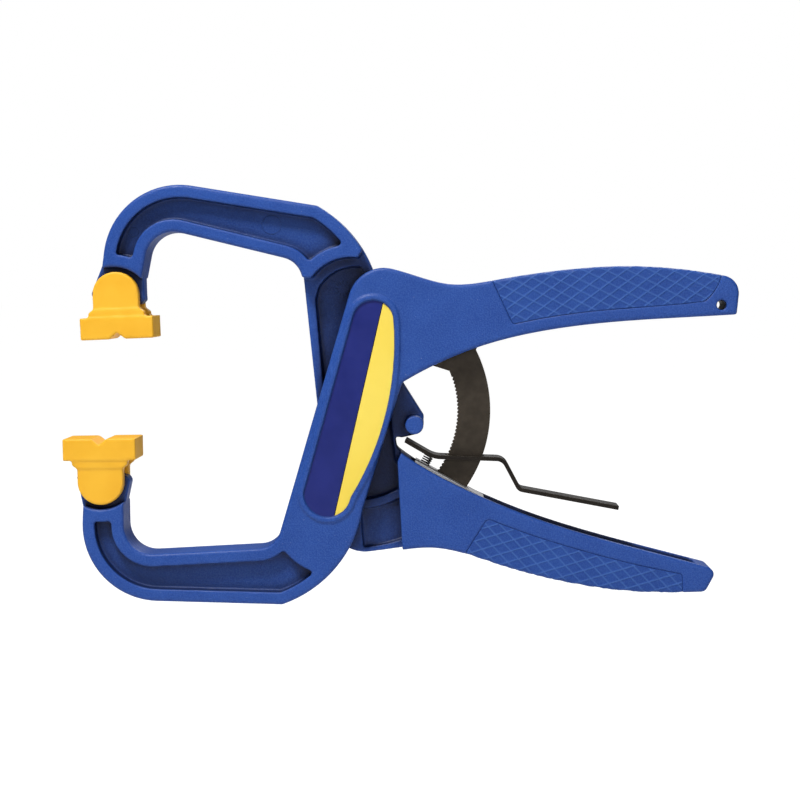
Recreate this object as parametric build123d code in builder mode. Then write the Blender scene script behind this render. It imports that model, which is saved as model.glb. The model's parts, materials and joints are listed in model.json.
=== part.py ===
from build123d import *
import math
import os

# One-hand ratcheting clamp, in millimetres.
# X runs towards the handles, Z across them, Y through the thickness with the front towards -Y.
# The origin is on the pivot axis, in the plane of the flat back.

os.makedirs("parts", exist_ok=True)

# ---- Thickness ----
ARM_THICK = 22.0
HALF = ARM_THICK / 2
PROUD = 1.0
MID_Y = -(HALF + PROUD)
HALVES_GAP = 0.15
EDGE_ROUND = 1.6
PAST = 1.0  # how far a cutter runs past the face it opens

# ---- The line the two arms are mirror twins about ----
TWIN_TILT = -5.2

# ---- Pivot ----
RIVET_R = 4.0
RIVET_HEAD_R = 7.5
RIVET_TAIL_R = 3.0
RIVET_TAIL_PROUD = 0.4
HEAD_HEIGHT = 2.5
RUNNING_GAP = 0.06
WASHER_R = 9.0
WASHER_THICK = 1.0
RETAINER_R = 6.5
RETAINER_THICK = 1.5
WASHER_SEAT = 6.5
RETAINER_SEAT = 7.2
RETAINER_CHAMFER = 0.6
SEAT_GAP = 0.2
PIVOT_BOSS_R = 13.5
SPRING_WIRE_R = 0.8
SPRING_COIL_R = 7.4
SPRING_PITCH = 1.75
SPRING_TURNS = 2.5
SPRING_LEG = 5.5
SPRING_ROOM_R = 9.0
SPRING_ROOM_DEPTH = 3.4
LEG_ROOM = 1.1

# ---- Jaws and pads ----
SWIVEL = (-123.5, -47.1)
TIP_ARC_R = 13.7
TENON_THICK = 10.0
TRUNNION_R = 4.0
TRUNNION_LENGTH = 3.5
CHEEK_R = 11.5
PAD_WIDTH = 36.6
PAD_TOP = 22.0
PAD_BOTTOM = 11.0
PAD_THICK = ARM_THICK + 2 * PROUD
CHEEK_TOP = 7.5
FLANGE_NARROW = 23.5
FLANGE_WIDE = 28.0
FLANGE_RISE = 1.2
PAD_SLOT = TENON_THICK + 0.3
SOCKET_DEPTH = TRUNNION_LENGTH + 0.2
GROOVE_WIDTH = 8.0
GROOVE_DEPTH = 3.3
UPPER_PAD_TILT = 182.4
LOWER_PAD_TILT = 1.0
JAW_RIM = 6.3
JAW_POCKET = 5.5

# ---- Ratchet ----
BAR_IN_R = 51.8
BAR_OUT_R = 68.4
BAR_THICK = 3.2
BAR_HEAD_ANGLE = 31.0
BAR_TAIL_ANGLE = -62.0
HEAD_LEFT = 36.6
HEAD_RIGHT = 64.4
HEAD_TOP = 51.8
HEAD_GAP = 0.2
TOOTH_START = 18.0
TOOTH_PITCH_ANGLE = 2.1
TOOTH_DEPTH = 0.7
TOOTH_COUNT = 38
TOOTH_BACK = 1.15
TOOTH_FRONT = 0.65
TAIL_ROUND = 2.0
BAR_CHANNEL = (50.2, 69.7, -86.5, -30.0)  # inner and outer radius, start and end angle
BAR_CHANNEL_HALF = 2.4
BAR_PIN_R = 2.5
BAR_PIN_LENGTH = 19.0
BAR_PINS = [(46.0, 37.0), (58.0, 42.5)]

# ---- Release lever, its spring and the bar's guide plate ----
LEVER_THICK = 2.0
LEVER_WIDTH = 14.0
LEVER_PATH = [(25.8, -14.8), (40.0, -23.0), (74.8, -24.1), (82.9, -39.3), (132.7, -48.5)]
LEVER_BENDS = [14.0, 5.5, 3.5]
LEVER_WINDOW = (45.55, 65.3)
LEVER_WINDOW_WIDTH = 4.4
PLATE_LEFT = (31.0, -24.6)
PLATE_ANGLE = -28.8
PLATE_LENGTH = 39.0
PLATE_THICK = 1.5
PLATE_GROOVE = 0.8
PLATE_SLOT = (11.0, 30.2)
PLATE_SLOT_WIDTH = 3.8
LEVER_SPRING_R = 2.2
LEVER_SPRING_WIRE_R = 0.35
LEVER_SPRING_AT = 5.0
LEVER_SPRING_HEIGHT = 4.7
LEVER_SPRING_TURNS = 3.5

# ---- Handles ----
WALL = 3.5
CHANNEL_HALF = HALF - WALL
GRIP_SKIN = 1.3
HANG_HOLE = (176.7, 69.5)
HANG_HOLE_R = 2.4
TIP_ROUND = 9.0

# ---- Label ----
LABEL_FLOOR = 10.3
LABEL_THICK = 0.5
LABEL_RIM = 2.6
LABEL_GAP = 0.15

# ---- Recess in the half-thickness middle ----
BAND_RECESS = 4.6


def arm_plane(height, turned=False):
    """Plane parallel to the faces, `height` outward from the parting plane, x along the twin line.

    The rear arm is the front arm turned over about the twin line, so its plane faces backwards
    and its y points down, towards its own handle.
    """
    along = (math.cos(math.radians(TWIN_TILT)), 0, math.sin(math.radians(TWIN_TILT)))
    if turned:
        return Plane(origin=(0, MID_Y + height, 0), x_dir=along, z_dir=(0, 1, 0))
    return Plane(origin=(0, MID_Y - height, 0), x_dir=along, z_dir=(0, -1, 0))


def depth_plane(y):
    """Plane at thickness position y, seen from the front: x right, y up, facing the front."""
    return Plane(origin=(0, y, 0), x_dir=(1, 0, 0), z_dir=(0, -1, 0))


def twin_to_front(point, turned=False):
    """Front-view (x, z) of a point given along and across the twin line."""
    tilt = math.radians(TWIN_TILT)
    along = point[0]
    across = -point[1] if turned else point[1]
    x = along * math.cos(tilt) - across * math.sin(tilt)
    z = along * math.sin(tilt) + across * math.cos(tilt)
    return (x, z)


def rounded_polygon(corners):
    """Face through (x, y, fillet radius) corners."""
    with BuildSketch(Plane.XY) as shape:
        with BuildLine():
            Polyline(*[(x, y) for x, y, radius in corners], close=True)
        make_face()
        for x, y, radius in corners:
            if radius > 0:
                fillet(shape.vertices().sort_by_distance((x, y))[0], radius)
    return shape.sketch


def slab(outline, low, high, turned=False, mode=Mode.ADD):
    """Extrudes a twin-line outline from one height to another."""
    with BuildSketch(arm_plane(low, turned)) as placed:
        add(outline)
    extrude(placed.sketch, amount=high - low, mode=mode)


def slab_at(outline, back_y, front_y, mode=Mode.ADD):
    """Extrudes a front-view outline between two thickness positions."""
    with BuildSketch(depth_plane(back_y)) as placed:
        add(outline)
    extrude(placed.sketch, amount=back_y - front_y, mode=mode)


def disc(centre, radius):
    """Round face in any plane."""
    with BuildSketch(Plane.XY) as shape:
        with Locations(centre):
            Circle(radius)
    return shape.sketch


def ring_sector(inner, outer, start, end):
    """Part of a flat ring about the pivot, angles in degrees."""
    def at(radius, angle):
        return (radius * math.cos(math.radians(angle)), radius * math.sin(math.radians(angle)))

    middle = (start + end) / 2
    with BuildSketch(Plane.XY) as shape:
        with BuildLine():
            ThreePointArc(at(inner, start), at(inner, middle), at(inner, end))
            Line(at(inner, end), at(outer, end))
            ThreePointArc(at(outer, end), at(outer, middle), at(outer, start))
            Line(at(outer, start), at(inner, start))
        make_face()
    return shape.sketch


# ---- Arm outlines, along and across the twin line, own handle upwards ----

BAND_TOP = (22.8, 16.6)
BAND_LOW = (9.0, -48.0)
HEEL_MIDDLE = (-4.0, -82.1)
HEEL_END = (-27.0, -100.3)
JAW_FLAT_END = (-91.0, -104.6)
JAW_CORNER = (-119.3, -94.0)
JAW_SIDE = (-131.0, -69.0)
TIP_OUTER = (SWIVEL[0] - 7.9, SWIVEL[1] - 12.4)
TIP_INNER = (SWIVEL[0] + 12.2, SWIVEL[1] - 8.9)
THROAT_LOW = (-108.5, -83.0)
THROAT_END = (-33.0, -71.8)
SHOULDER = (-4.4, 73.6)

FRONT_INNER_EDGE = [BAND_TOP, (40.8, 28.4), (62.4, 39.2), (91.6, 49.0), (121.1, 55.6), (184.8, 65.5)]
FRONT_OUTER_EDGE = [(184.9, 83.2), (156.0, 85.4), (126.0, 84.2), (96.4, 79.5), (66.9, 72.4),
                    (42.0, 67.6), (24.0, 70.4), SHOULDER]

NOTCH_TOP = (23.2, 10.8)
POST = (30.8, 4.0)
POST_R = 4.6
WING_R = 4.3
WING_TIP = (POST[0] + WING_R, POST[1] + WING_R + 0.9)
WING_SIDE = (POST[0] + WING_R, -0.2)
WING_END = (12.9, -29.2)

REAR_TIP = (187.5, 64.0)
REAR_INNER_EDGE = [BAND_TOP, (43.6, 27.6), (63.0, 35.0), (84.3, 41.9), (122.3, 50.8), (184.0, 61.2)]
REAR_OUTER_EDGE = [(183.4, 73.8), (171.8, 75.3), (143.3, 77.2), (115.3, 75.8), (77.6, 69.6),
                   (46.0, 64.6), (26.0, 68.2), SHOULDER]


def jaw_edges():
    """Band and jaw outline from the band's handle end round the tip and back to the shoulder."""
    tip_bottom = (SWIVEL[0] + 1.2, SWIVEL[1] - TIP_ARC_R)
    Line(BAND_TOP, BAND_LOW)
    ThreePointArc(BAND_LOW, HEEL_MIDDLE, HEEL_END)
    Line(HEEL_END, JAW_FLAT_END)
    ThreePointArc(JAW_FLAT_END, JAW_CORNER, JAW_SIDE)
    Line(JAW_SIDE, TIP_OUTER)
    ThreePointArc(TIP_OUTER, tip_bottom, TIP_INNER)
    Polyline(TIP_INNER, THROAT_LOW, THROAT_END, SHOULDER)


def soften(sketch, corner, radius):
    """Rounds the sketch vertex nearest a corner."""
    fillet(sketch.vertices().sort_by_distance(corner)[0], radius)


def under_edge(outer_edge):
    """Face below a handle's outer edge lowered by the grip's skin."""
    lowered = [(x, y - GRIP_SKIN) for x, y in outer_edge]
    with BuildSketch(Plane.XY) as shape:
        with BuildLine():
            Spline(*lowered)
            Polyline(lowered[-1], (lowered[-1][0], 20), (lowered[0][0], 20), lowered[0])
        make_face()
    return shape.sketch


with BuildSketch(Plane.XY) as front_outline:
    with BuildLine():
        jaw_edges()
        Spline(*FRONT_INNER_EDGE)
        Line(FRONT_INNER_EDGE[-1], FRONT_OUTER_EDGE[0])
        Spline(*FRONT_OUTER_EDGE)
    make_face()
    soften(front_outline, THROAT_LOW, 14)
    soften(front_outline, THROAT_END, 12)
    soften(front_outline, SHOULDER, 18)
    soften(front_outline, FRONT_OUTER_EDGE[0], TIP_ROUND)
    soften(front_outline, FRONT_INNER_EDGE[-1], 0.8)
    soften(front_outline, BAND_TOP, 3)

with BuildSketch(Plane.XY) as rear_outline:
    with BuildLine():
        jaw_edges()
        Spline(*REAR_INNER_EDGE)
        Polyline(REAR_INNER_EDGE[-1], REAR_TIP, REAR_OUTER_EDGE[0])
        Spline(*REAR_OUTER_EDGE)
    make_face()
    soften(rear_outline, THROAT_LOW, 14)
    soften(rear_outline, THROAT_END, 12)
    soften(rear_outline, SHOULDER, 18)
    soften(rear_outline, REAR_OUTER_EDGE[0], 3)
    soften(rear_outline, REAR_TIP, 3)
    soften(rear_outline, REAR_INNER_EDGE[-1], 2)
    soften(rear_outline, BAND_TOP, 3)

# The round-ended wing that carries the lever's post; the lever's end sits in the notch below it.
wing = rounded_polygon([
    (NOTCH_TOP[0] - 9, NOTCH_TOP[1] + 0.5, 0), (NOTCH_TOP[0] + 2, NOTCH_TOP[1] + 0.8, 0),
    (WING_TIP[0], WING_TIP[1] - 0.9, WING_R - 0.1), (*WING_SIDE, 2), (*WING_END, 0), (5.0, -25.0, 0),
])

# Where only one half of the thickness may stay, because the other arm swings there.
with BuildSketch(Plane.XY) as crossing:
    with BuildLine():
        Polyline((-60, 100), (-60, -64.3), (-27, -64.3))
        ThreePointArc((-27, -64.3), (-16.2, -74.3), (-4.7, -76.6))
        Polyline((-4.7, -76.6), (-2.9, -80.5), (4.0, -92.0), (60, -92), (60, 4), (27.5, 4),
                 (25.3, 19), (24.0, 23), (35.5, 100))
        Line((35.5, 100), (-60, 100))
    make_face()

# Recess of the half-thickness middle, facing the other arm.
with BuildSketch(Plane.XY) as band_zone:
    with BuildLine():
        Polyline((7.6, -48), (22.9, 24), (30, 31.5), (26, 37.5))
        ThreePointArc((26, 37.5), (13.2, 43.6), (0, 45.6))
        Polyline((0, 45.6), (-4.6, 45.6), (-15.6, -4.3), (-24.6, -54), (-23.4, -60.4))
        ThreePointArc((-23.4, -60.4), (-14.6, -69.4), (-2.6, -72.2))
        Line((-2.6, -72.2), (7.6, -48))
    make_face()
    fillet(band_zone.vertices(), 2)
    with Locations((0, 0)):
        Circle(PIVOT_BOSS_R, mode=Mode.SUBTRACT)

# Raised oval rim round the label.
with BuildSketch(Plane.XY) as label_rim:
    with BuildLine():
        Line((-7.2, 47.3), (-23.9, -42.3))
        ThreePointArc((-23.9, -42.3), (-10.3, -56.6), (5.1, -43.7))
        ThreePointArc((5.1, -43.7), (19.3, 3.6), (18.3, 48.6))
        ThreePointArc((18.3, 48.6), (6.2, 58.9), (-7.2, 47.3))
    make_face()
with BuildSketch(Plane.XY) as label_area:
    offset(label_rim.sketch, amount=-LABEL_RIM, mode=Mode.ADD)

# Thin tongue at the jaw's tip, which the pad straddles.
tenon = rounded_polygon([
    (SWIVEL[0] - 7.6, SWIVEL[1] - 18, 0), (SWIVEL[0] - 13.2, SWIVEL[1] + 0.8, 0.8),
    (SWIVEL[0] - 12.0, SWIVEL[1] + 3.0, 1), (SWIVEL[0] - 6, SWIVEL[1] + 4.5, 2),
    (SWIVEL[0] + 6, SWIVEL[1] + 4.5, 2), (SWIVEL[0] + 12.2, SWIVEL[1] + 3.6, 1),
    (SWIVEL[0] + 13.9, SWIVEL[1] + 1.4, 0.8), (SWIVEL[0] + 11.8, SWIVEL[1] - 16, 0),
])

# Pockets of the full-thickness jaw: its outline less an even rim.
JAW_POCKET_CORNERS = [(-13.3, -82.0), (-28.8, -72.6), (-116.6, -66.0)]
with BuildSketch(Plane.XY) as jaw_block:
    add(front_outline.sketch)
    add(crossing.sketch, mode=Mode.SUBTRACT)
    with Locations((100, 60)):
        Rectangle(200, 140, mode=Mode.SUBTRACT)
with BuildSketch(Plane.XY) as jaw_pocket:
    offset(jaw_block.sketch, amount=-JAW_RIM, mode=Mode.ADD)
    for corner in JAW_POCKET_CORNERS:
        soften(jaw_pocket, corner, 1.5)


def common_features(turned):
    """Everything the two arms share: the half-lap, tenon, trunnions, pockets, label recess, pivot."""
    slab(crossing.sketch, -HALF - PAST, HALVES_GAP / 2, turned, Mode.SUBTRACT)
    slab(tenon, -TENON_THICK / 2, TENON_THICK / 2, turned)
    trunnion = disc(SWIVEL, TRUNNION_R - RUNNING_GAP)
    slab(trunnion, -TENON_THICK / 2 - TRUNNION_LENGTH, TENON_THICK / 2 + TRUNNION_LENGTH, turned)
    slab(jaw_pocket.sketch, HALF - JAW_POCKET, HALF + PAST, turned, Mode.SUBTRACT)
    slab(jaw_pocket.sketch, -HALF - PAST, -HALF + JAW_POCKET, turned, Mode.SUBTRACT)
    slab(band_zone.sketch, 0, BAND_RECESS, turned, Mode.SUBTRACT)
    slab(disc((0, 0), SPRING_ROOM_R), 0, SPRING_ROOM_DEPTH, turned, Mode.SUBTRACT)
    slab(label_rim.sketch, HALF - 1, HALF + PROUD, turned)
    slab(label_area.sketch, LABEL_FLOOR, HALF + PROUD + PAST, turned, Mode.SUBTRACT)


# ---- Shapes seen from the front, x right and z up ----

PLATE_HALF = CHANNEL_HALF + PLATE_GROOVE
plate_plane = Plane(origin=(PLATE_LEFT[0], MID_Y, PLATE_LEFT[1]),
                    x_dir=(math.cos(math.radians(PLATE_ANGLE)), 0, math.sin(math.radians(PLATE_ANGLE))),
                    z_dir=(-math.sin(math.radians(PLATE_ANGLE)), 0, math.cos(math.radians(PLATE_ANGLE))))


def on_plate(along, up):
    """Front-view point a distance along the guide plate and above its top face."""
    angle = math.radians(PLATE_ANGLE)
    x = PLATE_LEFT[0] + along * math.cos(angle) - up * math.sin(angle)
    z = PLATE_LEFT[1] + along * math.sin(angle) + up * math.cos(angle)
    return (x, z)


plate_outline = rounded_polygon([
    (*on_plate(0, 0), 0), (*on_plate(PLATE_LENGTH, 0), 0), (*on_plate(PLATE_LENGTH, -PLATE_THICK), 0),
    (*on_plate(0, -PLATE_THICK), 0),
])
bar_channel = ring_sector(*BAR_CHANNEL)


def leg_slot(side):
    """Room for one leg of the opening spring, above (+1) or below (-1) the pivot."""
    near = side * (SPRING_COIL_R - LEG_ROOM)
    far = side * (SPRING_COIL_R + LEG_ROOM)
    end = -SPRING_LEG - PAST
    return rounded_polygon([(end, near, 0), (PAST, near, 0), (PAST, far, 0), (end, far, 0)])


front_leg_slot = leg_slot(1)
rear_leg_slot = leg_slot(-1)

# ---- Front arm: upper handle and lower jaw ----

with BuildPart() as front_blank:
    slab(front_outline.sketch, -HALF, HALF)
    fillet(front_blank.faces().filter_by(Axis.Y).edges(), EDGE_ROUND)

with BuildSketch(Plane.XY) as front_grip_zone:
    with BuildLine():
        Polyline((62.6, 71.5), (75.0, 50.6))
        Spline((75.0, 50.6), (89.5, 55.0), (123.0, 62.4), (146.8, 66.4), (168.4, 70.6))
        ThreePointArc((168.4, 70.6), (172.4, 76.0), (175.4, 86.5))
        Polyline((175.4, 86.5), (175.4, 96), (62.6, 96), (62.6, 71.5))
    make_face()
    soften(front_grip_zone, (75.0, 50.6), 1.5)
    soften(front_grip_zone, (168.4, 70.6), 1.5)
front_core = under_edge(FRONT_OUTER_EDGE)

with BuildPart() as front_grip:
    add(front_blank.part)
    slab(front_grip_zone.sketch, -HALF - PAST, HALF + PAST, mode=Mode.INTERSECT)
    slab(front_core, -HALF + GRIP_SKIN, HALF - GRIP_SKIN, mode=Mode.SUBTRACT)
front_grip.part.label = "front_grip"
export_step(front_grip.part, "parts/front_grip.step")

front_channel = rounded_polygon([
    (73, 30, 0), (73, 66.0, 3), (98, 72.6, 0), (126, 77.4, 0), (156, 79.0, 0), (169, 78.6, 3), (169, 50, 0),
])
front_bar_slot = rounded_polygon([
    (HEAD_LEFT - HEAD_GAP, 12, 0), (HEAD_LEFT - HEAD_GAP, HEAD_TOP + HEAD_GAP, 0),
    (HEAD_RIGHT + HEAD_GAP, HEAD_TOP + HEAD_GAP, 0),
    (73, 25, 0),
])

with BuildPart() as front_arm:
    add(front_blank.part)
    add(front_grip.part, mode=Mode.SUBTRACT)
    common_features(False)
    slab(front_channel, -CHANNEL_HALF, CHANNEL_HALF, mode=Mode.SUBTRACT)
    slab_at(front_bar_slot, MID_Y + BAR_THICK / 2, MID_Y - BAR_THICK / 2, Mode.SUBTRACT)
    for pin in BAR_PINS:
        slab_at(disc(pin, BAR_PIN_R), 0, -BAR_PIN_LENGTH - PROUD, Mode.SUBTRACT)
    slab(disc(HANG_HOLE, HANG_HOLE_R), -HALF - PAST, HALF + PAST, mode=Mode.SUBTRACT)
    slab(disc((0, 0), RIVET_R + RUNNING_GAP), 0, HALF, mode=Mode.SUBTRACT)
    slab(disc((0, 0), WASHER_R + SEAT_GAP), WASHER_SEAT, HALF, mode=Mode.SUBTRACT)
    slab_at(front_leg_slot, MID_Y, MID_Y - SPRING_ROOM_DEPTH, Mode.SUBTRACT)
front_arm.part.label = "front_arm"
export_step(front_arm.part, "parts/front_arm.step")

# ---- Rear arm: lower handle and upper jaw ----

with BuildPart() as rear_blank:
    slab(rear_outline.sketch, -HALF, HALF, True)
    fillet(rear_blank.faces().filter_by(Axis.Y).edges(), EDGE_ROUND)

with BuildSketch(Plane.XY) as rear_grip_zone:
    with BuildLine():
        Polyline((60.0, 70.0), (71.5, 47.3))
        Spline((71.5, 47.3), (94.7, 53.6), (117.3, 58.4), (141.9, 62.6), (171.0, 66.0))
        Polyline((171.0, 66.0), (172.4, 80), (172.4, 90), (60.0, 90), (60.0, 70.0))
    make_face()
    soften(rear_grip_zone, (71.5, 47.3), 2.5)
    soften(rear_grip_zone, (171.0, 66.0), 1.5)
rear_core = under_edge(REAR_OUTER_EDGE)

with BuildPart() as rear_grip:
    add(rear_blank.part)
    slab(rear_grip_zone.sketch, -HALF - PAST, HALF + PAST, True, Mode.INTERSECT)
    slab(rear_core, -HALF + GRIP_SKIN, HALF - GRIP_SKIN, True, Mode.SUBTRACT)
rear_grip.part.label = "rear_grip"
export_step(rear_grip.part, "parts/rear_grip.step")

rear_channel = rounded_polygon([
    (29.5, 10, 0), (34.5, 59.5, 3), (46, 59.0, 6), (78, 64.0, 0), (115, 70.0, 0), (143, 71.6, 0),
    (176, 69.0, 3), (180, 45, 0),
])

with BuildPart() as rear_arm:
    add(rear_blank.part)
    add(rear_grip.part, mode=Mode.SUBTRACT)
    slab(wing, HALVES_GAP / 2, HALF, True)
    common_features(True)
    slab(disc(POST, POST_R), -HALF, HALF, True)
    slab(rear_channel, -CHANNEL_HALF, CHANNEL_HALF, True, Mode.SUBTRACT)
    slab_at(plate_outline, MID_Y + PLATE_HALF, MID_Y - PLATE_HALF, Mode.SUBTRACT)
    slab_at(bar_channel, MID_Y + BAR_CHANNEL_HALF, MID_Y - BAR_CHANNEL_HALF, Mode.SUBTRACT)
    slab(disc((0, 0), RIVET_R), 0, HALF, True, Mode.SUBTRACT)
    slab(disc((0, 0), WASHER_R + SEAT_GAP), RETAINER_SEAT, HALF, True, Mode.SUBTRACT)
    slab_at(rear_leg_slot, MID_Y + SPRING_ROOM_DEPTH, MID_Y, Mode.SUBTRACT)
rear_arm.part.label = "rear_arm"
export_step(rear_arm.part, "parts/rear_arm.step")

# ---- Labels in the oval recesses ----

with BuildSketch(Plane.XY) as label_shape:
    offset(label_rim.sketch, amount=-LABEL_RIM - LABEL_GAP, mode=Mode.ADD)

with BuildPart() as front_label:
    slab(label_shape.sketch, LABEL_FLOOR, LABEL_FLOOR + LABEL_THICK)
front_label.part.label = "front_label"
export_step(front_label.part, "parts/front_label.step")

with BuildPart() as rear_label:
    slab(label_shape.sketch, LABEL_FLOOR, LABEL_FLOOR + LABEL_THICK, True)
rear_label.part.label = "rear_label"
export_step(rear_label.part, "parts/rear_label.step")

# ---- Pivot: rivet, washers, retainer and opening spring ----

washer_front = MID_Y - WASHER_SEAT
rivet_shoulder = washer_front - WASHER_THICK
washer_back = MID_Y + RETAINER_SEAT
retainer_back = washer_back + WASHER_THICK

with BuildPart() as pivot_rivet:
    slab_at(disc((0, 0), RIVET_R), retainer_back, rivet_shoulder)
    slab_at(disc((0, 0), RIVET_HEAD_R), rivet_shoulder, rivet_shoulder - HEAD_HEIGHT)
    slab_at(disc((0, 0), RIVET_TAIL_R), retainer_back + RETAINER_THICK + RIVET_TAIL_PROUD, retainer_back)
    fillet(pivot_rivet.edges().filter_by(GeomType.CIRCLE).group_by(Axis.Y)[0], 1)
pivot_rivet.part.label = "pivot_rivet"
export_step(pivot_rivet.part, "parts/pivot_rivet.step")

with BuildPart() as pivot_washers:
    slab_at(disc((0, 0), WASHER_R), washer_front, rivet_shoulder)
    slab_at(disc((0, 0), WASHER_R), retainer_back, washer_back)
    slab_at(disc((0, 0), RIVET_R + RUNNING_GAP), retainer_back, rivet_shoulder, Mode.SUBTRACT)
pivot_washers.part.label = "pivot_washers"
export_step(pivot_washers.part, "parts/pivot_washers.step")

with BuildPart() as pivot_retainer:
    slab_at(disc((0, 0), RETAINER_R), retainer_back + RETAINER_THICK, retainer_back)
    slab_at(disc((0, 0), RIVET_TAIL_R), retainer_back + RETAINER_THICK, retainer_back, Mode.SUBTRACT)
    back_edges = pivot_retainer.edges().filter_by(GeomType.CIRCLE).group_by(Axis.Y)[-1]
    chamfer(back_edges.sort_by(SortBy.RADIUS)[-1], RETAINER_CHAMFER)
pivot_retainer.part.label = "pivot_retainer"
export_step(pivot_retainer.part, "parts/pivot_retainer.step")

spring_height = SPRING_PITCH * SPRING_TURNS
with BuildPart() as opening_spring:
    with BuildLine() as coil:
        Helix(SPRING_PITCH, spring_height, SPRING_COIL_R, center=(0, MID_Y + spring_height / 2, 0),
              direction=(0, -1, 0))
    with BuildSketch(Plane(origin=coil.line @ 0, z_dir=coil.line % 0)) as coil_start:
        Circle(SPRING_WIRE_R)
    sweep(is_frenet=True)
    extrude(coil_start.sketch, amount=-SPRING_LEG)
    with BuildSketch(Plane(origin=coil.line @ 1, z_dir=coil.line % 1)) as coil_end:
        Circle(SPRING_WIRE_R)
    extrude(coil_end.sketch, amount=SPRING_LEG)
opening_spring.part.label = "opening_spring"
export_step(opening_spring.part, "parts/opening_spring.step")

# ---- Ratchet bar and the pins in its head ----

bar_arc = ring_sector(BAR_IN_R, BAR_OUT_R, BAR_TAIL_ANGLE, BAR_HEAD_ANGLE)
bar_head = rounded_polygon([
    (47.7, 20.0, 0), (39.5, 22.6, 0), (HEAD_LEFT, 24.0, 0), (HEAD_LEFT, HEAD_TOP, 2),
    (HEAD_RIGHT, HEAD_TOP, 2), (62.5, 33.0, 0), (56.0, 22.0, 0),
])
with BuildSketch(Plane.XY) as bar_shape:
    add(bar_arc)
    add(bar_head)
    with PolarLocations(BAR_IN_R, TOOTH_COUNT, TOOTH_START, -TOOTH_PITCH_ANGLE * (TOOTH_COUNT - 1)):
        Polygon((-0.3, TOOTH_BACK), (-0.3, -0.75), (TOOTH_DEPTH, TOOTH_FRONT),
                align=None, mode=Mode.SUBTRACT)
    with Locations(*BAR_PINS):
        Circle(BAR_PIN_R, mode=Mode.SUBTRACT)

with BuildPart() as ratchet_bar:
    slab_at(bar_shape.sketch, MID_Y + BAR_THICK / 2, MID_Y - BAR_THICK / 2)
    tail = ratchet_bar.edges().filter_by(Axis.Y).sort_by(Axis.Z)[:2]
    fillet(tail, TAIL_ROUND)
ratchet_bar.part.label = "ratchet_bar"
export_step(ratchet_bar.part, "parts/ratchet_bar.step")

with BuildPart() as bar_pins:
    for pin in BAR_PINS:
        slab_at(disc(pin, BAR_PIN_R), -PROUD, -PROUD - BAR_PIN_LENGTH)
bar_pins.part.label = "bar_pins"
export_step(bar_pins.part, "parts/bar_pins.step")

# ---- Release lever, its spring and the bar's guide plate ----

with BuildSketch(Plane.XY) as lever_shape:
    with BuildLine() as lever_line:
        FilletPolyline(*LEVER_PATH, radius=LEVER_BENDS)
    trace(lever_line.line, line_width=LEVER_THICK)
window = rounded_polygon([
    (LEVER_WINDOW[0], -30, 0), (LEVER_WINDOW[1], -30, 0),
    (LEVER_WINDOW[1], -18, 0), (LEVER_WINDOW[0], -18, 0),
])

with BuildPart() as release_lever:
    slab_at(lever_shape.sketch, MID_Y + LEVER_WIDTH / 2, MID_Y - LEVER_WIDTH / 2)
    slab_at(window, MID_Y + LEVER_WINDOW_WIDTH / 2, MID_Y - LEVER_WINDOW_WIDTH / 2, Mode.SUBTRACT)
release_lever.part.label = "release_lever"
export_step(release_lever.part, "parts/release_lever.step")

with BuildPart() as lever_spring:
    rise = LEVER_SPRING_HEIGHT - 2 * LEVER_SPRING_WIRE_R
    seat_x, seat_z = on_plate(LEVER_SPRING_AT, LEVER_SPRING_WIRE_R)
    with BuildLine() as small_coil:
        Helix(rise / LEVER_SPRING_TURNS, rise, LEVER_SPRING_R, center=(seat_x, MID_Y, seat_z),
              direction=tuple(plate_plane.z_dir))
    with BuildSketch(Plane(origin=small_coil.line @ 0, z_dir=small_coil.line % 0)):
        Circle(LEVER_SPRING_WIRE_R)
    sweep(is_frenet=True)
lever_spring.part.label = "lever_spring"
export_step(lever_spring.part, "parts/lever_spring.step")

with BuildPart() as bar_guide_plate:
    slab_at(plate_outline, MID_Y + PLATE_HALF, MID_Y - PLATE_HALF)
    with BuildSketch(plate_plane):
        with Locations(((PLATE_SLOT[0] + PLATE_SLOT[1]) / 2, 0)):
            Rectangle(PLATE_SLOT[1] - PLATE_SLOT[0], PLATE_SLOT_WIDTH)
    extrude(amount=-PLATE_THICK - 1, mode=Mode.SUBTRACT)
bar_guide_plate.part.label = "bar_guide_plate"
export_step(bar_guide_plate.part, "parts/bar_guide_plate.step")

# ---- Swivel pads ----

def pad_plane(depth_y, centre, tilt):
    """Plane through a swivel, facing the front, with y towards the pad's clamping face."""
    along = (math.cos(math.radians(tilt)), 0, math.sin(math.radians(tilt)))
    return Plane(origin=(centre[0], depth_y, centre[1]), x_dir=along, z_dir=(0, -1, 0))


with BuildSketch(Plane.XY) as pad_cheek:
    Circle(CHEEK_R)
    with Locations((0, CHEEK_TOP / 2)):
        Rectangle(2 * CHEEK_R, CHEEK_TOP)
pad_flange = rounded_polygon([
    (-FLANGE_NARROW / 2, CHEEK_TOP - 0.5, 0), (FLANGE_NARROW / 2, CHEEK_TOP - 0.5, 0),
    (FLANGE_WIDE / 2, CHEEK_TOP + FLANGE_RISE, 0.8), (FLANGE_WIDE / 2, PAD_BOTTOM, 0),
    (-FLANGE_WIDE / 2, PAD_BOTTOM, 0), (-FLANGE_WIDE / 2, CHEEK_TOP + FLANGE_RISE, 0.8),
])
pad_block = rounded_polygon([
    (-PAD_WIDTH / 2, PAD_BOTTOM, 0), (PAD_WIDTH / 2, PAD_BOTTOM, 0), (PAD_WIDTH / 2, PAD_TOP, 0),
    (GROOVE_WIDTH / 2, PAD_TOP, 0), (0, PAD_TOP - GROOVE_DEPTH, 0.4), (-GROOVE_WIDTH / 2, PAD_TOP, 0),
    (-PAD_WIDTH / 2, PAD_TOP, 0),
])


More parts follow.
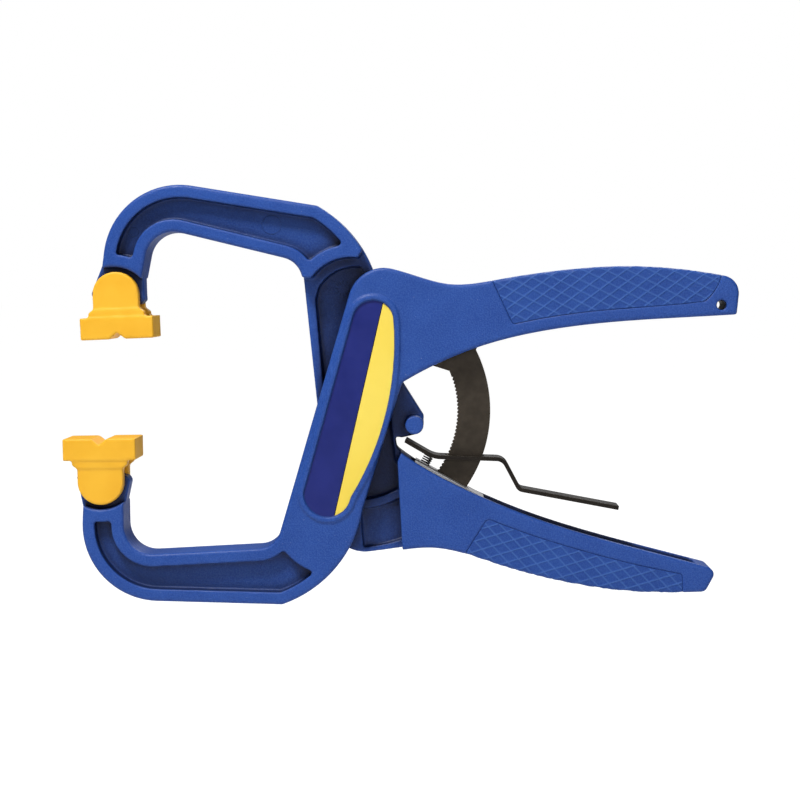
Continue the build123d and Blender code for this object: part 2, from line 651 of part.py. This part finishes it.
def pad_features(centre, tilt):
    """One swivel pad: block with a V groove, flange, and two cheeks that straddle the jaw's tongue."""
    layers = [(pad_cheek.sketch, ARM_THICK), (pad_flange, ARM_THICK + PROUD), (pad_block, PAD_THICK)]
    for outline, thickness in layers:
        with BuildSketch(pad_plane(MID_Y + thickness / 2, centre, tilt)) as layer:
            add(outline)
        extrude(layer.sketch, amount=thickness)
    with BuildSketch(pad_plane(MID_Y + PAD_SLOT / 2, centre, tilt)) as slot:
        with Locations((0, (PAD_BOTTOM - CHEEK_R) / 2 - 1)):
            Rectangle(PAD_WIDTH, PAD_BOTTOM + CHEEK_R + 2)
    extrude(slot.sketch, amount=PAD_SLOT, mode=Mode.SUBTRACT)
    socket_span = TENON_THICK + 2 * SOCKET_DEPTH
    with BuildSketch(pad_plane(MID_Y + socket_span / 2, centre, tilt)) as socket:
        Circle(TRUNNION_R)
    extrude(socket.sketch, amount=socket_span, mode=Mode.SUBTRACT)


lower_swivel = twin_to_front(SWIVEL)
upper_swivel = twin_to_front(SWIVEL, True)

with BuildPart() as lower_jaw_pad:
    pad_features(lower_swivel, LOWER_PAD_TILT)
lower_jaw_pad.part.label = "lower_jaw_pad"
export_step(lower_jaw_pad.part, "parts/lower_jaw_pad.step")

with BuildPart() as upper_jaw_pad:
    pad_features(upper_swivel, UPPER_PAD_TILT)
upper_jaw_pad.part.label = "upper_jaw_pad"
export_step(upper_jaw_pad.part, "parts/upper_jaw_pad.step")
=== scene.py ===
import json
import math

import bmesh
import bpy
import numpy as np
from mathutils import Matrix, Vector


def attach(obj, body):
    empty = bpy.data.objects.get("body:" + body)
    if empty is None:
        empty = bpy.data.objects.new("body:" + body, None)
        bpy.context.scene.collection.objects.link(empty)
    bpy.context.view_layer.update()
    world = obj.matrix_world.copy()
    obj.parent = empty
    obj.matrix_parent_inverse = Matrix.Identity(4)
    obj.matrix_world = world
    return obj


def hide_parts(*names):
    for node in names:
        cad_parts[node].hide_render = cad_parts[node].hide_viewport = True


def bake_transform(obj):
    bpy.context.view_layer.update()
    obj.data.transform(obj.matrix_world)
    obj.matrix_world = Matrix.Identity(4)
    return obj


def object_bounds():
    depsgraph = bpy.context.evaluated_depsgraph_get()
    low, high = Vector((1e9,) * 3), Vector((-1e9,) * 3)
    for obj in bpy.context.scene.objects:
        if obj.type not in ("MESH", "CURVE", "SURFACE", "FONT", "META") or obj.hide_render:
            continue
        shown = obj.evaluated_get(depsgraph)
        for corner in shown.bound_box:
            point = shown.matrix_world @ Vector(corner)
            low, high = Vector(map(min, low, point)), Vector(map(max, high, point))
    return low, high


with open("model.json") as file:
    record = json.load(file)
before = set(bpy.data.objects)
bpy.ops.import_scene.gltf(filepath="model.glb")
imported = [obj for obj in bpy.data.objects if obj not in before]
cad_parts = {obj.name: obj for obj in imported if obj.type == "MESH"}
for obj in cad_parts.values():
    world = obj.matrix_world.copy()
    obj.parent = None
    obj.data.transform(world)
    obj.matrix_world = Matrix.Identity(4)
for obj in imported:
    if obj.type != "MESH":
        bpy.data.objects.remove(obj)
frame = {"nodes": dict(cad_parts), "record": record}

cad_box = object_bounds()
MM = 0.001
MID_Y = -12.0  # the plane between the two halves, in mm

# ---- Materials ----

PATCH_RANGE = (0.35, 0.65)
SAND_RANGE = (0.40, 0.62)
ROUGH_RANGE = (0.3, 0.7)
ROUGH_SCALE = 4
SPECK_SCALE = 900
SPECK_RANGE = (0.735, 0.76)
SPECK_COLOUR = (0.30, 0.36, 0.55)
# Painted shade in recesses: how far the occlusion looks, the occlusion range it acts over, and the dark
# colour it fades to.
PAINTED_SHADE_REACH = 0.030
PAINTED_SHADE_RANGE = (0.42, 0.93)
PAINTED_SHADE_COLOUR = (0.006, 0.008, 0.030)
SPECULAR = 0.28
BUMP_STRENGTH = 0.8
BEVEL_SAMPLES = 6
EDGE_GAIN = 4.0
OCCLUSION_SAMPLES = 8
MIX_FACTOR, MIX_A, MIX_B, MIX_RESULT = 0, 6, 7, 2  # sockets of a Mix node set to colour
BLACK = (0, 0, 0)


def ramp(tree, source, limits, dark, light):
    """Colour that goes from `dark` at the first limit of the source to `light` at the second."""
    node = tree.nodes.new("ShaderNodeValToRGB")
    node.color_ramp.elements[0].position = limits[0]
    node.color_ramp.elements[1].position = limits[1]
    node.color_ramp.elements[0].color = (*dark, 1)
    node.color_ramp.elements[1].color = (*light, 1)
    tree.links.new(source, node.inputs[0])
    return node.outputs[0]


def noise(tree, scale, detail, rough=0.5, stretch=(1, 1, 1)):
    """Noise fixed to the object's own coordinates."""
    coord = tree.nodes.new("ShaderNodeTexCoord")
    mapping = tree.nodes.new("ShaderNodeMapping")
    mapping.inputs["Scale"].default_value = stretch
    tree.links.new(coord.outputs["Object"], mapping.inputs["Vector"])
    node = tree.nodes.new("ShaderNodeTexNoise")
    node.inputs["Scale"].default_value = scale
    node.inputs["Detail"].default_value = detail
    node.inputs["Roughness"].default_value = rough
    tree.links.new(mapping.outputs[0], node.inputs["Vector"])
    return node.outputs["Fac"]


def mix(tree, factor, a, b):
    """Colour `a` at factor 0 and `b` at factor 1; each may be a value or another node's output."""
    node = tree.nodes.new("ShaderNodeMix")
    node.data_type = "RGBA"
    for key, value in ((MIX_FACTOR, factor), (MIX_A, a), (MIX_B, b)):
        if isinstance(value, (tuple, float)):
            node.inputs[key].default_value = value
        else:
            tree.links.new(value, node.inputs[key])
    return node.outputs[MIX_RESULT]


def surface(name, dark, light, edge, metal=0.0, rough=(0.35, 0.5), patch=60, grain=2200,
            grain_mm=0.03, bevel_mm=0.5, stretch=(1, 1, 1), painted_shade=0.0, ridge=None, specks=0.0,
            sand=0.0):
    """Node material: patchy colour, lighter edges (rubbed, plus a painted highlight), varied roughness
    and a fine grain.

    `sand` and `specks` are how strongly fine grain and sparse dots lighten the colour, the recess
    argument is how strongly painted shade darkens the recesses, and `ridge` is the colour of the raised
    lines on a grip.
    """
    material = bpy.data.materials.new(name)
    material.use_nodes = True
    tree = material.node_tree
    shader = tree.nodes["Principled BSDF"]
    body = ramp(tree, noise(tree, patch, 5), PATCH_RANGE, dark, light)
    if sand:
        fine = ramp(tree, noise(tree, grain, 2, 0.6), SAND_RANGE, BLACK, (sand,) * 3)
        body = mix(tree, fine, body, (*edge, 1))
    # Painted highlight: edges are lightened toward the edge colour, standing in for light on the rounded
    # edges as well as rubbing.
    bevel = tree.nodes.new("ShaderNodeBevel")
    bevel.samples = BEVEL_SAMPLES
    bevel.inputs["Radius"].default_value = bevel_mm * MM
    geometry = tree.nodes.new("ShaderNodeNewGeometry")
    dot = tree.nodes.new("ShaderNodeVectorMath")
    dot.operation = "DOT_PRODUCT"
    tree.links.new(bevel.outputs[0], dot.inputs[0])
    tree.links.new(geometry.outputs["Normal"], dot.inputs[1])
    edge_mask = tree.nodes.new("ShaderNodeMath")
    edge_mask.operation = "SUBTRACT"
    edge_mask.inputs[0].default_value = 1.0
    tree.links.new(dot.outputs["Value"], edge_mask.inputs[1])
    worn_and_highlit_edge = tree.nodes.new("ShaderNodeMath")
    worn_and_highlit_edge.operation = "MULTIPLY"
    worn_and_highlit_edge.use_clamp = True
    worn_and_highlit_edge.inputs[1].default_value = EDGE_GAIN
    tree.links.new(edge_mask.outputs[0], worn_and_highlit_edge.inputs[0])
    colour = mix(tree, worn_and_highlit_edge.outputs[0], body, (*edge, 1))
    if ridge:
        lines = tree.nodes.new("ShaderNodeAttribute")
        lines.attribute_name = "ridge"
        colour = mix(tree, lines.outputs["Fac"], colour, (*ridge, 1))
    if specks:
        dots = ramp(tree, noise(tree, SPECK_SCALE, 2, 0.7), SPECK_RANGE, BLACK, (specks,) * 3)
        colour = mix(tree, dots, colour, (*SPECK_COLOUR, 1))
    # Painted shade: ambient occlusion darkens the colour toward a dark navy in recesses and creases.
    if painted_shade:
        occlusion = tree.nodes.new("ShaderNodeAmbientOcclusion")
        occlusion.samples = OCCLUSION_SAMPLES
        occlusion.inputs["Distance"].default_value = PAINTED_SHADE_REACH
        painted_shade_mask = ramp(tree, occlusion.outputs["AO"], PAINTED_SHADE_RANGE, (painted_shade,) * 3, BLACK)
        colour = mix(tree, painted_shade_mask, colour, (*PAINTED_SHADE_COLOUR, 1))
    tree.links.new(colour, shader.inputs["Base Color"])
    shader.inputs["Metallic"].default_value = metal
    shader.inputs["Specular IOR Level"].default_value = SPECULAR
    grey = ramp(tree, noise(tree, patch * ROUGH_SCALE, 4), ROUGH_RANGE, (rough[0],) * 3, (rough[1],) * 3)
    tree.links.new(grey, shader.inputs["Roughness"])
    bump = tree.nodes.new("ShaderNodeBump")
    bump.inputs["Distance"].default_value = grain_mm * MM
    bump.inputs["Strength"].default_value = BUMP_STRENGTH
    tree.links.new(noise(tree, grain, 2, 0.6, stretch), bump.inputs["Height"])
    tree.links.new(bevel.outputs[0], bump.inputs["Normal"])
    tree.links.new(bump.outputs[0], shader.inputs["Normal"])
    return material


LOOKS = {
    "arm_nylon": surface("arm_nylon", (0.0125, 0.058, 0.295), (0.017, 0.070, 0.330),
                         (0.06, 0.15, 0.48), rough=(0.36, 0.50), grain=1300, grain_mm=0.20,
                         painted_shade=0.92, specks=0.45, sand=0.30),
    "grip_plastic": surface("grip_plastic", (0.011, 0.052, 0.270), (0.015, 0.064, 0.305),
                            (0.05, 0.14, 0.45), rough=(0.40, 0.55), grain=1400, grain_mm=0.12, sand=0.22,
                            ridge=(0.055, 0.150, 0.47), specks=0.3),
    "pad_plastic": surface("pad_plastic", (0.90, 0.455, 0.024), (0.96, 0.515, 0.034), (1.0, 0.64, 0.14),
                           rough=(0.38, 0.5), grain=1500, grain_mm=0.02),
    "bar_steel": surface("bar_steel", (0.045, 0.036, 0.027), (0.060, 0.048, 0.036), (0.26, 0.19, 0.12),
                         metal=0.55, rough=(0.42, 0.56), patch=260, grain=3500, bevel_mm=0.3),
    "lever_steel": surface("lever_steel", (0.014, 0.011, 0.009), (0.024, 0.019, 0.015),
                           (0.10, 0.08, 0.06), metal=0.5, rough=(0.28, 0.42), patch=180, bevel_mm=0.3),
    "bright_steel": surface("bright_steel", (0.40, 0.40, 0.41), (0.52, 0.52, 0.53), (0.75, 0.75, 0.75),
                            metal=1.0, rough=(0.44, 0.58), patch=200, grain=1800, grain_mm=0.003,
                            stretch=(0.1, 1, 1), bevel_mm=0.25),
    "spring_steel": surface("spring_steel", (0.018, 0.017, 0.016), (0.034, 0.032, 0.030),
                            (0.10, 0.09, 0.08), metal=0.6, rough=(0.25, 0.4), patch=300, bevel_mm=0.1),
    "label_film": surface("label_film", (0.010, 0.018, 0.160), (0.014, 0.023, 0.190), (0.04, 0.05, 0.24),
                          rough=(0.30, 0.40), grain=1200, grain_mm=0.006, bevel_mm=0.1),
}
LABEL_YELLOW = surface("label_yellow", (0.95, 0.71, 0.09), (0.98, 0.76, 0.12), (1.0, 0.85, 0.3),
                       rough=(0.30, 0.40), patch=22, grain=1200, grain_mm=0.006, bevel_mm=0.05)
LABEL_LINE = surface("label_line", (0.004, 0.004, 0.006), (0.008, 0.008, 0.010),
                     (0.02, 0.02, 0.02), rough=(0.25, 0.35), bevel_mm=0.05)

for part in frame["record"]["subparts"]:
    node = frame["nodes"][part["node"]]
    node.data.materials.clear()
    node.data.materials.append(LOOKS[part["material_slot"]])

# ---- Arms and pads: soft moulded edges ----

EDGE_VOXEL_MM = 0.55
SMOOTHING_FACTOR = 0.5
SMOOTHING_PASSES = 5


def add_voxels(piece, size_mm):
    """Rebuilds the surface on an even grid fine enough to carry soft edges or raised lines."""
    voxels = piece.modifiers.new("voxels", "REMESH")
    voxels.mode = "VOXEL"
    voxels.voxel_size = size_mm * MM
    voxels.use_smooth_shade = True


for name in ("front_arm", "rear_arm", "upper_jaw_pad", "lower_jaw_pad"):
    moulding = frame["nodes"][name]
    add_voxels(moulding, EDGE_VOXEL_MM)
    soft = moulding.modifiers.new("soft", "SMOOTH")
    soft.factor = SMOOTHING_FACTOR
    soft.iterations = SMOOTHING_PASSES

# ---- Grips: moulded diamonds ----

UPPER_HANDLE_ANGLE = math.radians(5.0)
LOWER_HANDLE_ANGLE = math.radians(-15.0)
HANDLE_HALF = 11.0
HATCH_ANGLE = math.radians(32)
HATCH_PITCH = 4.98
RIDGE_HALF = 0.26
RIDGE_SLOPE = 1.5
RIDGE_TINT = 0.75
FIELD_DEPTH = 0.30
GRIP_VOXEL_MM = 0.42
SKIN_START = 0.45  # how far a face must turn outward before the pattern begins
SKIN_FADE = 0.3


def hatched_grip(node_name, body, handle_angle, side):
    """Copy of a grip with its outer skin sunk between crossing ridges; `side` is +1 for the upper."""
    grip = bpy.data.objects.new(node_name + "_hatched", frame["nodes"][node_name].data.copy())
    bpy.context.scene.collection.objects.link(grip)
    add_voxels(grip, GRIP_VOXEL_MM)
    graph = bpy.context.evaluated_depsgraph_get()
    mesh = bpy.data.meshes.new_from_object(grip.evaluated_get(graph))
    grip.modifiers.clear()
    grip.data = mesh
    count = len(mesh.vertices)
    place = np.zeros(count * 3)
    mesh.vertices.foreach_get("co", place)
    place = place.reshape(-1, 3)
    normal = np.zeros(count * 3)
    mesh.vertices.foreach_get("normal", normal)
    normal = normal.reshape(-1, 3)
    cos_handle, sin_handle = math.cos(handle_angle), math.sin(handle_angle)
    along = place[:, 0] / MM * cos_handle + place[:, 2] / MM * sin_handle
    across = -place[:, 0] / MM * sin_handle + place[:, 2] / MM * cos_handle
    from_middle = place[:, 1] / MM - MID_Y
    wrap = across + side * (HANDLE_HALF - np.abs(from_middle))
    ridge = np.zeros(count)
    for sign in (1, -1):
        phase = wrap * math.cos(HATCH_ANGLE) + sign * along * math.sin(HATCH_ANGLE)
        gap = np.abs((phase / HATCH_PITCH + 0.5) % 1 - 0.5) * HATCH_PITCH
        ridge = np.maximum(ridge, np.clip(RIDGE_SLOPE - gap / RIDGE_HALF, 0, 1))
    outward = normal[:, 1] * np.sign(from_middle) + normal[:, 2] * side
    skin = np.clip((outward - SKIN_START) / SKIN_FADE, 0, 1)
    sink = FIELD_DEPTH * (1 - ridge) * skin * MM
    place -= normal * sink[:, None]
    mesh.vertices.foreach_set("co", place.reshape(-1))
    lines = mesh.attributes.new("ridge", "FLOAT", "POINT")
    lines.data.foreach_set("value", (ridge * skin * RIDGE_TINT).astype(np.float32))
    mesh.update()
    mesh.materials.clear()
    mesh.materials.append(LOOKS["grip_plastic"])
    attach(grip, body)
    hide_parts(node_name)


hatched_grip("front_grip", "front_frame", UPPER_HANDLE_ANGLE, 1)
hatched_grip("rear_grip", "rear_frame", LOWER_HANDLE_ANGLE, -1)

# ---- Springs: fixed copies that stand in for the originals ----


def sprung(node_name):
    """Copy of a rigid spring, left where it stands, in place of the original."""
    spring = bpy.data.objects.new(node_name + "_sprung", frame["nodes"][node_name].data.copy())
    bpy.context.scene.collection.objects.link(spring)
    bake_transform(spring)
    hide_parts(node_name)


sprung("opening_spring")
sprung("lever_spring")

# ---- Front label: plain two-tone print ----

SPLIT_LOW = Vector((-10.6, 0, -51.0))
SPLIT_HIGH = Vector((13.2, 0, 53.0))
WELD = 0.00001


def label_part(name, shift, proud, material):
    """The label's right-hand side, cut along a line `shift` mm to the right and `proud` mm in front."""
    layer = bpy.data.objects.new(name, frame["nodes"]["front_label"].data.copy())
    bpy.context.scene.collection.objects.link(layer)
    line = (SPLIT_HIGH - SPLIT_LOW).normalized()
    right = Vector((line.z, 0, -line.x))
    build = bmesh.new()
    build.from_mesh(layer.data)
    bmesh.ops.remove_doubles(build, verts=build.verts[:], dist=WELD)
    everything = build.verts[:] + build.edges[:] + build.faces[:]
    on_line = (SPLIT_LOW + right * shift) * MM
    bmesh.ops.bisect_plane(build, geom=everything, plane_co=on_line, plane_no=right, clear_inner=True)
    bmesh.ops.holes_fill(build, edges=[e for e in build.edges if e.is_boundary])
    bmesh.ops.translate(build, verts=build.verts[:], vec=(0, -proud * MM, 0))
    bmesh.ops.recalc_face_normals(build, faces=build.faces[:])
    build.to_mesh(layer.data)
    build.free()
    layer.data.materials.clear()
    layer.data.materials.append(material)
    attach(layer, "front_frame")


label_part("label_line", 0.9, 0.02, LABEL_LINE)
label_part("label_yellow", 1.35, 0.04, LABEL_YELLOW)

# ---- Marks left by the mould: ejector discs and a ring of plain ticks ----

JAW_FLOOR_Y = -17.5
MIDDLE_FLOOR_Y = -7.4
MARK_HEIGHT = 0.12
MARK_ROOT = 0.1  # how far a mark reaches into the floor it stands on
MARK_TAPER = 0.93
DISC_SIDES = 48
TICK_HALF_WIDTH = 0.07  # the ticks' sizes are shares of the ring's radius
TICK_START = 0.62


def mould_mark(name, centre, radius, floor_y, ticks=0):
    """Low disc, or a ring of short ticks, standing on a recess floor that faces the front."""
    mesh = bpy.data.meshes.new(name)
    build = bmesh.new()
    outlines = []
    if ticks:
        for k in range(ticks):
            turn = 2 * math.pi * k / ticks
            radial = Vector((math.cos(turn), math.sin(turn)))
            side = Vector((-radial.y, radial.x)) * radius * TICK_HALF_WIDTH
            near, far = radial * radius * TICK_START, radial * radius
            outlines.append([near - side, far - side, far + side, near + side])
    else:
        turns = [2 * math.pi * k / DISC_SIDES for k in range(DISC_SIDES)]
        outlines.append([Vector((math.cos(turn), math.sin(turn))) * radius for turn in turns])
    for outline in outlines:
        middle = sum(outline, Vector((0, 0))) / len(outline)
        tapered = [middle + (corner - middle) * MARK_TAPER for corner in outline]
        low = [build.verts.new(((centre[0] + q.x) * MM, (floor_y + MARK_ROOT) * MM,
                                (centre[1] + q.y) * MM)) for q in outline]
        high = [build.verts.new(((centre[0] + q.x) * MM, (floor_y - MARK_HEIGHT) * MM,
                                 (centre[1] + q.y) * MM)) for q in tapered]
        build.faces.new(low)
        build.faces.new(high)
        for k in range(len(low)):
            after = (k + 1) % len(low)
            build.faces.new((low[k], low[after], high[after], high[k]))
    bmesh.ops.recalc_face_normals(build, faces=build.faces[:])
    build.to_mesh(mesh)
    build.free()
    mark = bpy.data.objects.new(name, mesh)
    bpy.context.scene.collection.objects.link(mark)
    mesh.materials.append(LOOKS["arm_nylon"])
    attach(mark, "rear_frame")


mould_mark("ejector_mark_large", (-41.0, 93.0), 5.0, JAW_FLOOR_Y)
mould_mark("ejector_mark_small", (-110.0, 89.5), 2.5, JAW_FLOOR_Y)
mould_mark("tick_ring", (-6.0, 61.0), 4.2, MIDDLE_FLOOR_Y, ticks=12)

# ---- Floor, light and camera ----

FLOOR_DROP = 0.056  # lets the lower jaw swing fully open above the floor
FLOOR_HALF = 20
FLOOR_GLOW = 1.38
FLOOR_GLOW_SHARE = 0.7
WORLD_STRENGTH = 0.14
LIGHTS_AIM = (0.02, -0.012, 0.0)
CAMERA_PLACE = (0.0413, -0.8707, 0.0599)
CAMERA_AIM = (0.0232, -0.024, 0.00597)
CAMERA_LENS = 76.77
SENSOR_WIDTH = 36

ground = bpy.data.meshes.new("floor")
build = bmesh.new()
bmesh.ops.create_grid(build, x_segments=2, y_segments=2, size=FLOOR_HALF)
build.to_mesh(ground)
build.free()
floor = bpy.data.objects.new("floor", ground)
floor.location.z = cad_box[0][2] - FLOOR_DROP
bpy.context.scene.collection.objects.link(floor)
paint = surface("floor_paint", (0.80, 0.80, 0.80), (0.83, 0.83, 0.83), (0.85, 0.85, 0.85),
                rough=(0.8, 0.9), patch=3, grain=300, grain_mm=0.02)
ground.materials.append(paint)


def camera_only(tree, strength, base_output, target, share):
    """Mixes in a share of white glow that only the camera sees, so the ground reads as white paper."""
    path = tree.nodes.new("ShaderNodeLightPath")
    amount = tree.nodes.new("ShaderNodeMath")
    amount.operation = "MULTIPLY"
    amount.inputs[1].default_value = share
    tree.links.new(path.outputs["Is Camera Ray"], amount.inputs[0])
    glow = tree.nodes.new("ShaderNodeEmission")
    glow.inputs["Strength"].default_value = strength
    both = tree.nodes.new("ShaderNodeMixShader")
    tree.links.new(amount.outputs[0], both.inputs[0])
    tree.links.new(base_output, both.inputs[1])
    tree.links.new(glow.outputs[0], both.inputs[2])
    tree.links.new(both.outputs[0], target)


camera_only(paint.node_tree, FLOOR_GLOW, paint.node_tree.nodes["Principled BSDF"].outputs[0],
            paint.node_tree.nodes["Material Output"].inputs["Surface"], FLOOR_GLOW_SHARE)

world = bpy.data.worlds.new("studio")
bpy.context.scene.world = world
world.use_nodes = True
sky = world.node_tree.nodes["Background"]
sky.inputs["Color"].default_value = (1, 1, 1, 1)
sky.inputs["Strength"].default_value = WORLD_STRENGTH
camera_only(world.node_tree, 1.0, sky.outputs[0],
            world.node_tree.nodes["World Output"].inputs["Surface"], 1.0)


def softbox(name, place, size, watts):
    """Square area light turned to face the object."""
    light = bpy.data.lights.new(name, "AREA")
    light.size = size
    light.energy = watts
    holder = bpy.data.objects.new(name, light)
    holder.location = place
    toward = Vector(LIGHTS_AIM) - Vector(place)
    holder.rotation_euler = toward.to_track_quat("-Z", "Y").to_euler()
    bpy.context.scene.collection.objects.link(holder)


softbox("key", (-0.35, -0.62, 1.10), 0.30, 17)
softbox("front", (0.45, -1.35, 0.35), 0.45, 2.5)
softbox("back", (0.3, 0.9, 0.8), 0.6, 5)

camera_data = bpy.data.cameras.new("camera")
camera_data.lens = CAMERA_LENS
camera_data.sensor_width = SENSOR_WIDTH
camera = bpy.data.objects.new("camera", camera_data)
camera.location = CAMERA_PLACE
camera.rotation_euler = (Vector(CAMERA_AIM) - camera.location).to_track_quat("-Z", "Y").to_euler()
bpy.context.scene.collection.objects.link(camera)
bpy.context.scene.camera = camera
bpy.context.scene.view_settings.view_transform = "Standard"
